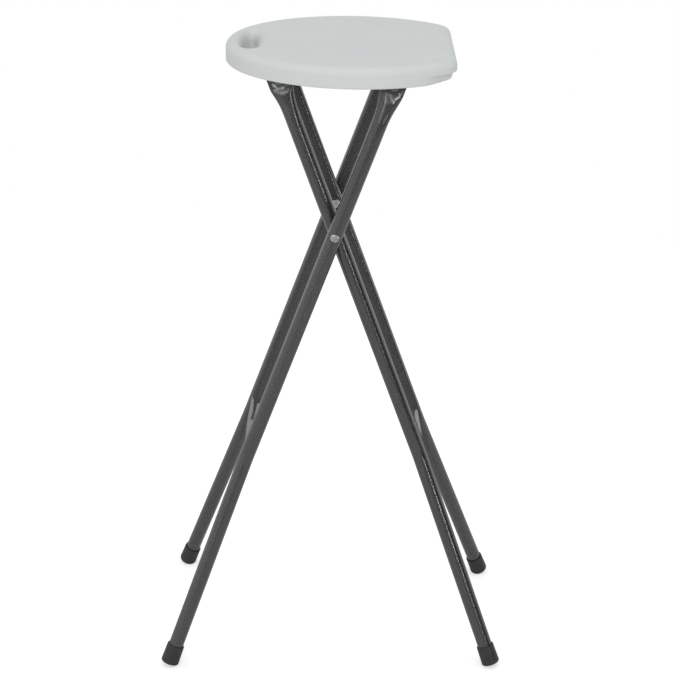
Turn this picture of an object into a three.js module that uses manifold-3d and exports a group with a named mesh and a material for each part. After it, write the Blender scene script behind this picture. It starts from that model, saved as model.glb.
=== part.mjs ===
// Folding bar stool: a round plastic seat with one flat side, on two crossed frames of
// steel tube. The outer frame carries the seat on a hinge, the inner frame's top bar sits
// in two open clips under the seat, and the two frames turn on a bolt on each side.
// Lengths are millimetres, +Z is up, and the floor is at Z = 0. X runs from the side with
// the finger hole to the flat side, and Y runs from the near legs to the far legs.
import * as THREE from 'three';
import { mergeVertices } from 'three/addons/utils/BufferGeometryUtils.js';
import Module from 'manifold-3d';

const wasm = await Module();
wasm.setup();

// Overall sizes
const seatHeight = 800;
const seatReach = 155;
const seatHalfWidth = 143.5;
const seatThickness = 24;
const footHalfSpan = 212;
const outerFootSpread = 134;
const innerFootSpread = 122;
const outerPlane = 76;
const pivotBelowBar = 185;
const pivotShift = -4;
const bendHeight = 272;

// Clearances and cutting overruns
const fitGap = 0.3;
const overrun = 5;

// Leg tubes
const tubeDiameter = 19;
const tubeWall = 1.2;
const bendRadius = 70;
const pressedDepth = 2.3;
const runOutLength = 48;
const tabThickness = 3;
const crimpLength = 46;
const crimpDelay = 1.5;
const tabBelowBar = 6.5;
const tabAboveBar = 9;

// Seat shell
const seatShift = 19.5;
const flatSideReach = 119.5;
const cornerRadius = 34;
const topEdgeRadius = 9;
const bottomEdgeRadius = 2;
const wallDraft = 0.5;
const bandHeight = 8;
const shellWall = 3.2;
const rimWidth = 13;
const recessDepth = 10;
const lipHeight = 14;
const lipStep = 3;
const lowerWallSlope = 2;
const ventDiameter = 5;

// Finger hole through the seat
const holeWidth = 20;
const holeLength = 96;
const holeInset = 29;
const holeCornerRadius = 8;
const holeEdgeRadius = 4;
const holeSurround = 9;

// Top bars of the two frames
const barDrop = 13;
const barDiameter = 16;
const barWall = 1.5;
const plugLength = 15;

// Pivot bolts, nuts and washers, and the screws that hold the top bars
const boltDiameter = 6;
const boltHeadDiameter = 10.8;
const boltHeadHeight = 3.2;
const boltEndLength = 1.5;
const nutAcrossFlats = 10;
const nutThickness = 5;
const washerDiameter = 15;
const washerThickness = 2.7;
const barScrewLength = 13;

// Hinge saddles and snap clips under the seat
const saddleSpread = 37;
const clipSpread = 34;
const saddleWidth = 14;
const strapThickness = 2;
const saddleReach = 20;
const clipWidth = 14;
const clipThickness = 2.5;
const clipReach = 18;
const clipBase = 2.5;
const padMargin = 1;
const smallScrewDiameter = 4;
const smallHeadDiameter = 8;
const smallHeadHeight = 2.4;
const smallScrewLength = 12;
const flangeScrewInset = 5.5;

// Foot caps
const capWall = 1.9;
const capDepth = 22;
const capBase = 4;
const capTaper = 0.6;
const capEdgeRadius = 2.5;
const floorFlatDepth = 1;

// Angles, in degrees
const clipMouthAngle = 28;
const fullTurn = 360;

// How finely round shapes are divided
const tubeSides = 20;
const barSides = 24;
const boltSides = 16;
const nutSides = 6;
const seatArcSteps = 44;
const cornerSteps = 5;
const edgeSteps = 4;
const bendSteps = 4;
const crimpSteps = 6;
const domeSteps = 3;
const clipSteps = 12;
const holeSteps = 5;

// Sizes that follow from the ones above
const tubeRadius = tubeDiameter / 2;
const barRadius = barDiameter / 2;
const boltRadius = boltDiameter / 2;
const seatBottom = seatHeight - seatThickness;
const seatCeiling = seatBottom + recessDepth;
const barHeight = seatBottom - barDrop;
const pivotHeight = barHeight - pivotBelowBar;
const pressedReach = tubeRadius - pressedDepth;
const innerPlane = outerPlane - pressedReach - washerThickness - 2 * fitGap - tubeRadius;
const capRadius = tubeRadius + fitGap + capWall;
const seatCentre = pivotShift + seatShift;
const outerTilt = Math.atan((footHalfSpan + pivotShift) / pivotHeight);
const innerTilt = Math.atan((footHalfSpan - pivotShift) / pivotHeight);

// Colours and finishes
const paints = {
  seat: { color: 0xc9cdcc, roughness: 0.55, metalness: 0 },
  tube: { color: 0x3c3c3d, roughness: 0.42, metalness: 0.35 },
  zinc: { color: 0xb4b6b8, roughness: 0.3, metalness: 0.9 },
  clip: { color: 0x1c1c1d, roughness: 0.5, metalness: 0 },
  rubber: { color: 0x202021, roughness: 0.75, metalness: 0 },
  nylon: { color: 0xd8d8d2, roughness: 0.5, metalness: 0 },
};

// Turns a closed three.js geometry into a solid that can be joined and cut
function toSolid(geometry) {
  const bare = geometry.clone();
  bare.deleteAttribute('normal');
  bare.deleteAttribute('uv');
  const merged = mergeVertices(bare);
  const corners = merged.index.array;
  const kept = [];
  for (let i = 0; i < corners.length; i += 3) {
    const [a, b, c] = [corners[i], corners[i + 1], corners[i + 2]];
    if (a !== b && b !== c && c !== a) kept.push(a, b, c);
  }
  const mesh = new wasm.Mesh({
    numProp: 3,
    vertProperties: new Float32Array(merged.attributes.position.array),
    triVerts: new Uint32Array(kept),
  });
  return new wasm.Manifold(mesh);
}

// Turns a solid back into a three.js geometry
function toGeometry(solid) {
  const mesh = solid.getMesh();
  const geometry = new THREE.BufferGeometry();
  geometry.setAttribute('position', new THREE.BufferAttribute(new Float32Array(mesh.vertProperties), 3));
  geometry.setIndex(new THREE.BufferAttribute(new Uint32Array(mesh.triVerts), 1));
  geometry.computeVertexNormals();
  return geometry;
}

// Makes a named mesh in one of the finishes above
function piece(name, geometry, paint) {
  const mesh = new THREE.Mesh(geometry, new THREE.MeshStandardMaterial(paints[paint]));
  mesh.name = name;
  return mesh;
}

// Skins a row of rings, each with the same number of points, and closes both ends
function loft(rings) {
  const count = rings[0].length;
  const points = rings.flat();
  const index = [];
  for (let r = 0; r + 1 < rings.length; r += 1) {
    for (let i = 0; i < count; i += 1) {
      const j = (i + 1) % count;
      const [a, b] = [r * count + i, r * count + j];
      index.push(a, b, b + count, a, b + count, a + count);
    }
  }
  const ends = [rings[0], rings[rings.length - 1]];
  ends.forEach((ring, end) => {
    const middle = new THREE.Vector3();
    ring.forEach((point) => middle.add(point));
    points.push(middle.divideScalar(count));
    const first = end === 0 ? 0 : (rings.length - 1) * count;
    for (let i = 0; i < count; i += 1) {
      const [a, b] = [first + i, first + ((i + 1) % count)];
      index.push(...(end === 0 ? [b, a, points.length - 1] : [a, b, points.length - 1]));
    }
  });
  const geometry = new THREE.BufferGeometry().setFromPoints(points);
  geometry.setIndex(index);
  geometry.computeVertexNormals();
  return geometry;
}

// Turns a profile of [radius, along] points about the Y axis
function turned(profile, sides) {
  return new THREE.LatheGeometry(profile.map(([radius, along]) => new THREE.Vector2(radius, along)), sides);
}

// A round bar along Y between two places
function rodAlongY(radius, from, to, sides) {
  return turned([[0, from], [radius, from], [radius, to], [0, to]], sides);
}

// A box between two corners
function block(low, high) {
  const size = new THREE.Vector3().subVectors(high, low);
  const middle = new THREE.Vector3().addVectors(low, high).multiplyScalar(0.5);
  return new THREE.BoxGeometry(size.x, size.y, size.z).translate(middle.x, middle.y, middle.z);
}

// A flat XZ outline made into a bar of the given width, centred on Y = 0
function extrudeAlongY(outline, width) {
  const shape = new THREE.Shape(outline.map(([x, z]) => new THREE.Vector2(x, z)));
  const geometry = new THREE.ExtrudeGeometry(shape, { depth: width, bevelEnabled: false });
  return geometry.rotateX(Math.PI / 2).translate(0, width / 2, 0);
}

// Points on a circle in a flat outline, between two angles in degrees
function arcPoints(radius, from, to, steps) {
  return Array.from({ length: steps + 1 }, (unused, i) => {
    const angle = THREE.MathUtils.degToRad(from + ((to - from) * i) / steps);
    return [radius * Math.cos(angle), radius * Math.sin(angle)];
  });
}

// Leg tubes

// One ring round a tube that is round when its half thickness equals the tube's radius,
// and grows into a flat tab of the same outline length as it gets thinner
function tubeSection(halfThickness, outlineRadius, inwardLimit) {
  const half = tubeSides / 2;
  const straight = Math.max((Math.PI * (outlineRadius - halfThickness)) / 2, fitGap / tubeSides);
  return Array.from({ length: tubeSides }, (unused, i) => {
    const onRight = i < half;
    const share = (i % half) / (half - 1);
    const angle = (onRight ? -0.5 : 0.5) * Math.PI + share * Math.PI;
    const across = halfThickness * Math.cos(angle) + (onRight ? straight : -straight);
    const outward = halfThickness * Math.sin(angle);
    return [across, Math.max(outward, -inwardLimit)];
  });
}

// A leg's axis, given in its own frame: Z runs up the leg from the pivot, and Y is the
// sideways spread. Each station has its place and the direction its outer face looks in.
function legRoute(tilt, plane, footSpread, side) {
  const bendAlong = (bendHeight - pivotHeight) / Math.cos(tilt);
  const footAlong = -pivotHeight / Math.cos(tilt);
  const splay = Math.atan((footSpread - plane) / (bendAlong - footAlong));
  const arcStart = bendAlong + bendRadius * Math.tan(splay / 2);
  const place = (spread, along, turn) => ({
    point: new THREE.Vector3(0, side * spread, along),
    outward: new THREE.Vector3(0, side * Math.cos(turn), Math.sin(turn)),
  });
  const arc = Array.from({ length: bendSteps + 1 }, (unused, i) => {
    const turn = (splay * i) / bendSteps;
    const spread = plane + bendRadius * (1 - Math.cos(turn));
    return place(spread, arcStart - bendRadius * Math.sin(turn), turn);
  });
  const foot = place(footSpread, footAlong, splay);
  const upright = (along) => place(plane, along, 0);
  const down = new THREE.Vector3(0, side * Math.sin(splay), -Math.cos(splay));
  return { arc, foot, upright, down, splay };
}

// How far the cap's underside has to sit above the floor for its lowest edge to be cut
// into a flat of the chosen depth
function capUndersideRise(tilt, splay) {
  const lean = Math.acos(Math.cos(tilt) * Math.cos(splay));
  const lowestEdge = (capRadius - capEdgeRadius) * Math.sin(lean) + capEdgeRadius * (1 - Math.cos(lean));
  return (lowestEdge - floorFlatDepth) / Math.cos(lean);
}

// One leg tube with its bore, its pressed inner face, the flattened tab at its top and
// the two bolt holes
function legTube(tilt, plane, footSpread, side) {
  const route = legRoute(tilt, plane, footSpread, side);
  const barAlong = pivotBelowBar / Math.cos(tilt);
  const crimpEnd = barAlong - tabBelowBar;
  const crimpStart = crimpEnd - crimpLength;
  const underside = capUndersideRise(tilt, route.splay);
  const tubeEndRise = underside + capBase + fitGap;
  const lastArc = route.arc[bendSteps];
  const alongLower = (rise) => ({
    ...route.foot,
    point: route.foot.point.clone().addScaledVector(route.down, -rise),
  });
  const ring = (station, halfThickness, outlineRadius, inwardLimit) =>
    tubeSection(halfThickness, outlineRadius, inwardLimit).map(([across, outward]) =>
      station.point.clone().addScaledVector(station.outward, outward).setX(side * across));
  const lowerLength = lastArc.point.distanceTo(route.foot.point);
  const runOutEnd = lowerLength - runOutLength;

  const rings = (inset, extraAtFoot, closeAtCrimp) => {
    const radius = tubeRadius - inset;
    const plain = (station) => ring(station, radius, radius, radius);
    const pressed = (station) => ring(station, radius, radius, pressedReach - inset);
    const list = [plain(alongLower(tubeEndRise - extraAtFoot)), plain(alongLower(runOutEnd))];
    route.arc.slice().reverse().forEach((station) => list.push(pressed(station)));
    list.push(pressed(route.upright(crimpStart)));
    if (closeAtCrimp) return list;
    for (let i = 1; i <= crimpSteps; i += 1) {
      const share = i / crimpSteps;
      const late = share ** crimpDelay;
      const ease = late * late * (3 - 2 * late);
      const halfThickness = tubeRadius + (tabThickness / 2 - tubeRadius) * ease;
      const station = route.upright(crimpStart + crimpLength * share);
      list.push(ring(station, halfThickness, tubeRadius, pressedReach));
    }
    list.push(ring(route.upright(barAlong + tabAboveBar), tabThickness / 2, tubeRadius, pressedReach));
    return list;
  };
  const hole = (along) => {
    const reach = tubeRadius + overrun;
    const rod = rodAlongY(boltRadius + fitGap, side * plane - reach, side * plane + reach, boltSides);
    return toSolid(rod.translate(0, 0, along));
  };
  const tube = toSolid(loft(rings(0, 0, false)));
  const bore = toSolid(loft(rings(tubeWall, overrun, true)));
  return tube.subtract(bore).subtract(hole(0)).subtract(hole(barAlong));
}

// Foot caps

// A rubber cup over the tube's end, square to the lower leg, cut flat where it meets the floor
function footCap(tilt, plane, footSpread, side, frame) {
  const route = legRoute(tilt, plane, footSpread, side);
  const underside = capUndersideRise(tilt, route.splay);
  const inside = tubeRadius + fitGap;
  const corner = capRadius - capEdgeRadius;
  const profile = [[0, 0], [corner, 0]];
  for (let i = 1; i <= edgeSteps; i += 1) {
    const angle = (Math.PI * i) / (2 * edgeSteps);
    profile.push([corner + capEdgeRadius * Math.sin(angle), capEdgeRadius * (1 - Math.cos(angle))]);
  }
  const height = capBase + capDepth;
  profile.push([capRadius - capTaper, height], [inside, height], [inside, capBase], [0, capBase]);
  const cup = turned(profile, barSides).rotateX(Math.PI / 2);
  const up = route.down.clone().negate();
  const across = new THREE.Vector3(1, 0, 0);
  const basis = new THREE.Matrix4().makeBasis(across, new THREE.Vector3().crossVectors(up, across), up);
  const start = route.foot.point.clone().addScaledVector(route.down, -underside);
  cup.applyMatrix4(basis.setPosition(start));
  const reach = 2 * capRadius;
  const floorPoint = route.foot.point.clone().applyMatrix4(frame);
  const low = new THREE.Vector3(floorPoint.x - reach, floorPoint.y - reach, -reach);
  const high = new THREE.Vector3(floorPoint.x + reach, floorPoint.y + reach, 0);
  const below = block(low, high).applyMatrix4(frame.clone().invert());
  return toSolid(cup).subtract(toSolid(below));
}

// Bolts, nuts, washers and screws

// A screw or bolt with a domed head, its head on the +Y side and its shank along -Y
function domedScrew(headDiameter, headHeight, shankDiameter, shankLength) {
  const profile = [[0, -shankLength], [shankDiameter / 2, -shankLength], [shankDiameter / 2, 0]];
  for (let i = 0; i <= domeSteps; i += 1) {
    const angle = (Math.PI * i) / (2 * domeSteps);
    profile.push([(headDiameter / 2) * Math.cos(angle), headHeight * Math.sin(angle)]);
  }
  profile[profile.length - 1][0] = 0;
  return turned(profile, boltSides);
}

// A ring along Y, such as a washer, a tube or a threaded plug
function ringAlongY(outer, inner, from, to, sides) {
  return turned([[inner, from], [outer, from], [outer, to], [inner, to], [inner, from]], sides);
}

// A hexagon nut with a clear hole, from Y = 0 towards -Y
function hexNut() {
  const corner = nutAcrossFlats / Math.sqrt(3);
  const outline = arcPoints(corner, 0, fullTurn, nutSides).slice(0, nutSides);
  const nut = toSolid(extrudeAlongY(outline, nutThickness).translate(0, -nutThickness / 2, 0));
  const hole = rodAlongY(boltRadius + fitGap, -nutThickness - overrun, overrun, boltSides);
  return nut.subtract(toSolid(hole));
}

// Seat shell

// The seat's outline, drawn in by an inset: a round outline with two round corners and a
// flat side, stretched along X
function seatOutline(inset) {
  const round = seatHalfWidth - inset;
  const stretch = (seatReach - inset) / round;
  const corner = cornerRadius - inset;
  const cornerX = (flatSideReach - inset) / stretch - corner;
  const cornerY = Math.sqrt((round - corner) ** 2 - cornerX ** 2);
  const start = Math.atan2(cornerY, cornerX);
  const points = [];
  for (let i = 0; i <= seatArcSteps; i += 1) {
    const angle = start + ((2 * Math.PI - 2 * start) * i) / seatArcSteps;
    points.push([stretch * round * Math.cos(angle), round * Math.sin(angle)]);
  }
  const addCorner = (y, from, to, first, last) => {
    for (let i = first; i <= last; i += 1) {
      const angle = from + ((to - from) * i) / cornerSteps;
      points.push([stretch * (cornerX + corner * Math.cos(angle)), y + corner * Math.sin(angle)]);
    }
  };
  addCorner(-cornerY, -start, 0, 1, cornerSteps);
  addCorner(cornerY, 0, start, 0, cornerSteps - 1);
  return points;
}

// A slab with the seat's outline, given as [inset, height] from the bottom up
function seatSlab(levels) {
  return toSolid(loft(levels.map(([inset, z]) =>
    seatOutline(inset).map(([x, y]) => new THREE.Vector3(seatCentre + x, y, z)))));
}

// A vertical plug at the finger hole, given as [extra, height] from the bottom up
function holePlug(levels) {
  const x = seatCentre - seatReach + holeInset;
  const cornerX = holeWidth / 2 - holeCornerRadius;
  const cornerY = holeLength / 2 - holeCornerRadius;
  const quarter = fullTurn / 4;
  const corners = [[cornerX, cornerY], [-cornerX, cornerY], [-cornerX, -cornerY], [cornerX, -cornerY]];
  return toSolid(loft(levels.map(([extra, z]) =>
    corners.flatMap(([startX, startY], i) =>
      arcPoints(holeCornerRadius + extra, i * quarter, (i + 1) * quarter, holeSteps)
        .map(([px, py]) => new THREE.Vector3(x + startX + px, startY + py, z))))));
}

// The cut under the lip of the flat side: a step in, then a wall that slopes inwards
function lipCut(grow) {
  const lip = seatCentre + flatSideReach;
  const top = seatHeight - lipHeight + grow;
  const outline = [
    [lip - lipStep - grow, top],
    [lip + overrun, top],
    [lip + overrun, seatBottom - overrun],
    [lip - lipStep - lowerWallSlope - grow, seatBottom - overrun],
    [lip - lipStep - lowerWallSlope - grow, seatBottom],
  ];
  return toSolid(extrudeAlongY(outline, 2 * (seatHalfWidth + overrun)));
}

// The open recess under the seat, between the rim and the surround of the finger hole
function recess(grow) {
  const left = seatCentre - seatReach + holeInset + holeWidth / 2 + holeSurround - grow;
  const levels = [[rimWidth - grow, seatBottom - overrun], [rimWidth - grow, seatCeiling + grow]];
  const span = seatReach + overrun;
  const low = new THREE.Vector3(left, -span, seatBottom - 2 * overrun);
  const high = new THREE.Vector3(seatCentre + span, span, seatHeight);
  return seatSlab(levels).intersect(toSolid(block(low, high)));
}

// The outer skin of the seat: bottom edge, drafted wall, upright band and rounded top edge
function seatSkin() {
  const levels = [
    [wallDraft + bottomEdgeRadius, seatBottom],
    [wallDraft, seatBottom + bottomEdgeRadius],
    [0, seatHeight - topEdgeRadius - bandHeight],
  ];
  for (let i = 0; i <= edgeSteps; i += 1) {
    const angle = (Math.PI * i) / (2 * edgeSteps);
    const rise = topEdgeRadius * (1 - Math.sin(angle));
    levels.push([topEdgeRadius * (1 - Math.cos(angle)), seatHeight - rise]);
  }
  return seatSlab(levels);
}

// The finger hole with a rounded rim at the top
function fingerHole() {
  const levels = [[0, seatBottom - overrun], [0, seatHeight - holeEdgeRadius]];
  for (let i = 1; i <= edgeSteps; i += 1) {
    const angle = (Math.PI * i) / (2 * edgeSteps);
    const rise = holeEdgeRadius * (1 - Math.sin(angle));
    levels.push([holeEdgeRadius * (1 - Math.cos(angle)), seatHeight - rise]);
  }
  levels.push([holeEdgeRadius, seatHeight + overrun]);
  return holePlug(levels);
}

// The hollow between the seat's walls, which the vent opens to the air
function seatCavity() {
  const low = wallDraft + shellWall;
  const hollow = seatSlab([
    [low, seatBottom + shellWall],
    [topEdgeRadius, seatHeight - shellWall],
  ]);
  const surround = holePlug([[shellWall, seatBottom - overrun], [shellWall, seatHeight + overrun]]);
  return hollow.subtract(recess(shellWall)).subtract(surround).subtract(lipCut(shellWall));
}

// Where the two bars lie across the stool
const outerBarX = pivotShift + pivotBelowBar * Math.tan(outerTilt);
const innerBarX = pivotShift - pivotBelowBar * Math.tan(innerTilt);
const sides = [['near', -1], ['far', 1]];
const ends = [['left', -1], ['right', 1]];

// Moulded pads under the seat: tall grooved ones for the hinge, low ones for the clips
function seatPads() {
  const pad = (x, y, halfLength, width, bottom) => {
    const low = new THREE.Vector3(x - halfLength, y - width / 2 - padMargin, bottom);
    const high = new THREE.Vector3(x + halfLength, y + width / 2 + padMargin, seatCeiling + shellWall / 2);
    return toSolid(block(low, high));
  };
  let pads = null;
  for (const [, side] of sides) {
    const hinge = pad(outerBarX, side * saddleSpread, saddleReach, saddleWidth, barHeight);
    const clip = pad(innerBarX, side * clipSpread, clipReach, clipWidth, seatBottom);
    pads = pads ? pads.add(hinge).add(clip) : hinge.add(clip);
  }
  return pads;
}

// Where a small screw goes up into the seat, for the saddles and for the clips
function saddleScrewPlaces() {
  return sides.flatMap(([sideName, side]) => ends.map(([endName, end]) => ({
    name: `${sideName}_${endName}`,
    x: outerBarX + end * (saddleReach - flangeScrewInset),
    y: side * saddleSpread,
    z: barHeight - fitGap - strapThickness - fitGap,
  })));
}

function clipScrewPlaces() {
  return sides.flatMap(([sideName, side]) => ends.map(([endName, end]) => ({
    name: `${sideName}_${endName}`,
    x: innerBarX + end * (clipReach - smallHeadDiameter / 2),
    y: side * clipSpread,
    z: seatBottom - fitGap - clipBase - fitGap,
  })));
}

// A hole for a small screw, from just under its head to past its tip
function smallScrewHole(place) {
  const radius = smallScrewDiameter / 2 + fitGap;
  const rod = rodAlongY(radius, -overrun, smallScrewLength + fitGap, boltSides);
  return toSolid(rod.rotateX(Math.PI / 2).translate(place.x, place.y, place.z));
}

function seatShell() {
  const groove = rodAlongY(barRadius + fitGap, -seatHalfWidth, seatHalfWidth, barSides);
  const vent = rodAlongY(ventDiameter / 2, -overrun, shellWall + overrun, boltSides).rotateX(Math.PI / 2);
  let shell = seatSkin().subtract(lipCut(0)).subtract(recess(0)).subtract(fingerHole());
  shell = shell.subtract(seatCavity()).add(seatPads());
  shell = shell.subtract(toSolid(groove.translate(outerBarX, 0, barHeight)));
  shell = shell.subtract(toSolid(vent.translate(seatCentre, 0, seatCeiling)));
  for (const place of [...saddleScrewPlaces(), ...clipScrewPlaces()]) {
    shell = shell.subtract(smallScrewHole(place));
  }
  return shell;
}

// Saddles and clips

// A steel strap that holds the outer frame's bar up against the seat's grooved pads
function hingeSaddle() {
  const inner = barRadius + fitGap;
  const outer = inner + strapThickness;
  const top = -fitGap;
  const bottom = top - strapThickness;
  const innerEdge = THREE.MathUtils.radToDeg(Math.asin(-top / inner));
  const outerEdge = THREE.MathUtils.radToDeg(Math.asin(-bottom / outer));
  const half = fullTurn / 2;
  return [
    [-saddleReach, top],
    ...arcPoints(inner, half + innerEdge, fullTurn - innerEdge, clipSteps),
    [saddleReach, top],
    [saddleReach, bottom],
    ...arcPoints(outer, fullTurn - outerEdge, half + outerEdge, clipSteps),
    [-saddleReach, bottom],
  ];
}

// An open half-round clip whose mouth faces the way the inner frame's bar leaves it
function snapClip() {
  const inner = barRadius + fitGap;
  const outer = inner + clipThickness;
  const top = barDrop - fitGap;
  const bottom = top - clipBase;
  const meet = THREE.MathUtils.radToDeg(Math.asin(Math.min(bottom, outer) / outer));
  const half = fullTurn / 2;
  return [
    ...arcPoints(inner, clipMouthAngle, half + clipMouthAngle, clipSteps),
    ...arcPoints(outer, half + clipMouthAngle, half - meet, clipSteps),
    [-clipReach, bottom],
    [-clipReach, top],
    [clipReach, top],
    [clipReach, bottom],
    ...arcPoints(outer, meet, clipMouthAngle, clipSteps / 2),
  ];
}

// Everything on the seat

const stool = new THREE.Group();

function addSeat() {
  const seat = new THREE.Group();
  seat.add(piece('seat_shell', toGeometry(seatShell()), 'seat'));
  const holder = (name, outline, width, x, y, places, paint) => {
    let solid = toSolid(extrudeAlongY(outline, width).translate(x, y, barHeight));
    for (const place of places) solid = solid.subtract(smallScrewHole(place));
    seat.add(piece(name, toGeometry(solid), paint));
  };
  for (const [sideName, side] of sides) {
    holder(`hinge_saddle_${sideName}`, hingeSaddle(), saddleWidth, outerBarX, side * saddleSpread,
      saddleScrewPlaces(), 'zinc');
    holder(`bar_clip_${sideName}`, snapClip(), clipWidth, innerBarX, side * clipSpread,
      clipScrewPlaces(), 'clip');
  }
  const addScrews = (prefix, places) => {
    for (const place of places) {
      const screw = piece(`${prefix}_${place.name}`,
        domedScrew(smallHeadDiameter, smallHeadHeight, smallScrewDiameter, smallScrewLength), 'zinc');
      screw.rotation.x = -Math.PI / 2;
      screw.position.set(place.x, place.y, place.z);
      seat.add(screw);
    }
  };
  addScrews('saddle_screw', saddleScrewPlaces());
  addScrews('clip_screw', clipScrewPlaces());
  stool.add(seat);
}

// One frame: two legs with their caps, the top bar, its plugs and its end screws.
// The group stands at the pivot and leans with the legs.
function addFrame(label, tilt, lean, plane, footSpread) {
  const group = new THREE.Group();
  group.position.set(pivotShift, 0, pivotHeight);
  group.rotation.y = lean * tilt;
  group.updateMatrix();
  const barAlong = pivotBelowBar / Math.cos(tilt);
  const barEnd = plane - tabThickness / 2 - fitGap;
  const bar = ringAlongY(barRadius, barRadius - barWall, -barEnd, barEnd, barSides);
  group.add(piece(`${label}_crossbar`, bar.translate(0, 0, barAlong), 'tube'));
  for (const [sideName, side] of sides) {
    const leg = legTube(tilt, plane, footSpread, side);
    group.add(piece(`${label}_leg_${sideName}`, toGeometry(leg), 'tube'));
    const cap = footCap(tilt, plane, footSpread, side, group.matrix);
    group.add(piece(`${label}_foot_cap_${sideName}`, toGeometry(cap), 'rubber'));

    const plugOuter = barRadius - barWall - fitGap;
    const plugEnds = [side * (barEnd - plugLength), side * barEnd].sort((a, b) => a - b);
    const plug = ringAlongY(plugOuter, boltRadius + fitGap, plugEnds[0], plugEnds[1], boltSides);
    group.add(piece(`${label}_bar_plug_${sideName}`, plug.translate(0, 0, barAlong), 'zinc'));

    const shank = tabThickness + 2 * fitGap + barScrewLength;
    const screw = piece(`${label}_bar_screw_${sideName}`,
      domedScrew(boltHeadDiameter, boltHeadHeight, boltDiameter, shank), 'zinc');
    screw.position.set(0, side * (plane + tabThickness / 2 + fitGap), barAlong);
    screw.rotation.x = side > 0 ? 0 : Math.PI;
    group.add(screw);
  }
  stool.add(group);
}

// The two pivots, where the near legs cross and where the far legs cross
function addPivots() {
  const group = new THREE.Group();
  group.position.set(pivotShift, 0, pivotHeight);
  const outside = outerPlane + tubeRadius + fitGap;
  const nutFace = innerPlane - pressedReach - fitGap;
  const shank = outside - nutFace + nutThickness + boltEndLength;
  const washerOuterFace = outerPlane - pressedReach - fitGap;
  for (const [sideName, side] of sides) {
    const turn = side > 0 ? 0 : Math.PI;
    const bolt = piece(`pivot_bolt_${sideName}`,
      domedScrew(boltHeadDiameter, boltHeadHeight, boltDiameter, shank), 'zinc');
    bolt.position.y = side * outside;
    bolt.rotation.x = turn;
    const nut = piece(`pivot_nut_${sideName}`, toGeometry(hexNut()), 'zinc');
    nut.position.y = side * nutFace;
    nut.rotation.x = turn;
    const washer = piece(`pivot_washer_${sideName}`,
      ringAlongY(washerDiameter / 2, boltRadius + fitGap, -washerThickness, 0, boltSides), 'nylon');
    washer.position.y = side * washerOuterFace;
    washer.rotation.x = turn;
    group.add(bolt, nut, washer);
  }
  stool.add(group);
}

addSeat();
addFrame('outer', outerTilt, 1, outerPlane, outerFootSpread);
addFrame('inner', innerTilt, -1, innerPlane, innerFootSpread);
addPivots();

export default stool;
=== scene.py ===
# %% [markdown]
# # Folding bar stool
# A tall stool with a nearly round seat of pale moulded plastic on four dark steel tube legs.
# The legs cross in two pairs and turn on a bolt each, so the whole stool folds flat. The
# solids of the part come in first. They give every piece its place, and the scene gives each
# piece its finer form and its finish.

# %% Load the frame
import math
import bmesh
import bpy
from mathutils import Matrix, Vector


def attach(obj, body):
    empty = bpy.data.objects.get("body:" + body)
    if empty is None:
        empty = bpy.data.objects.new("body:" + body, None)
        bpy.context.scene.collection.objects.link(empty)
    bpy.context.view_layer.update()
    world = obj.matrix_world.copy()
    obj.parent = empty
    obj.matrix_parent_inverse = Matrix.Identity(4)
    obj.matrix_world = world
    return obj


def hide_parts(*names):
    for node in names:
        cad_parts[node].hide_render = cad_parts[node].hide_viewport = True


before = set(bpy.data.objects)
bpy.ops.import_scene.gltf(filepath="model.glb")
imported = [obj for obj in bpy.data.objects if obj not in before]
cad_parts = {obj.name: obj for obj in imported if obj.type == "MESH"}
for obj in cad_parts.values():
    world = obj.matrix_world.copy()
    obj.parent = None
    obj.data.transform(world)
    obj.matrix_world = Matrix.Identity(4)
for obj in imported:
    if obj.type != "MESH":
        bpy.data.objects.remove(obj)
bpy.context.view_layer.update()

# %% [markdown]
# ## Working in millimetres
# A maker reads a drawing of a stool in millimetres, but Blender works in metres here. One
# number turns one into the other, so that every size below can be read off a drawing.

# %% Units and the main places
mm = 0.001
y_axis, z_axis = 1, 2
sides = (("near", -1), ("far", 1))
seat_top = 800 * mm
seat_thickness = 24 * mm
seat_bottom = seat_top - seat_thickness
bar_drop = 13 * mm
bar_height = seat_bottom - bar_drop
bar_above_pivot = 185 * mm
pivot_height = bar_height - bar_above_pivot
pivot = Vector((-4 * mm, 0, pivot_height))
tube_radius = 9.5 * mm
fit_gap = 0.3 * mm
print("the pivots stand", round(pivot_height / mm), "mm above the floor")

# %% [markdown]
# ## Modelling by hand, written down
# Each step of modelling is picked from a menu when a person does it: choose a piece, go
# into edit mode, select some faces, move them. A few short helpers do the choosing, so that
# the cells that follow can say what is done to a piece and little else.

# %% Choosing what a tool acts on
near_enough = 0.01 * mm
small_edge = 0.4 * mm


def only(piece):
    if bpy.context.mode != "OBJECT":
        bpy.ops.object.mode_set(mode="OBJECT")
    bpy.ops.object.select_all(action="DESELECT")
    piece.select_set(True)
    bpy.context.view_layer.objects.active = piece


def open_mesh(piece):
    only(piece)
    bpy.ops.object.mode_set(mode="EDIT")
    bpy.ops.mesh.select_mode(type="VERT")


def close_mesh():
    bpy.ops.object.mode_set(mode="OBJECT")


def pick_all():
    bpy.ops.mesh.select_all(action="SELECT")


def pick(piece, kind, test):
    bpy.ops.mesh.select_mode(type=kind)
    bpy.ops.mesh.select_all(action="DESELECT")
    mesh = bmesh.from_edit_mesh(piece.data)
    parts = {"VERT": mesh.verts, "EDGE": mesh.edges, "FACE": mesh.faces}[kind]
    for part in parts:
        if test(part):
            part.select_set(True)
    mesh.select_flush_mode()
    bmesh.update_edit_mesh(piece.data)


def corner_at(axis, place):
    return lambda corner: abs(corner.co[axis] - place) < near_enough


def edge_at(axis, place):
    return lambda edge: all(abs(corner.co[axis] - place) < near_enough for corner in edge.verts)


def end_face(axis, side):
    return lambda face: face.normal[axis] * side > 0.9 and len(face.verts) > 8


def reach_of(edge, axis):
    return abs(edge.verts[0].co[axis] - edge.verts[1].co[axis])


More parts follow.
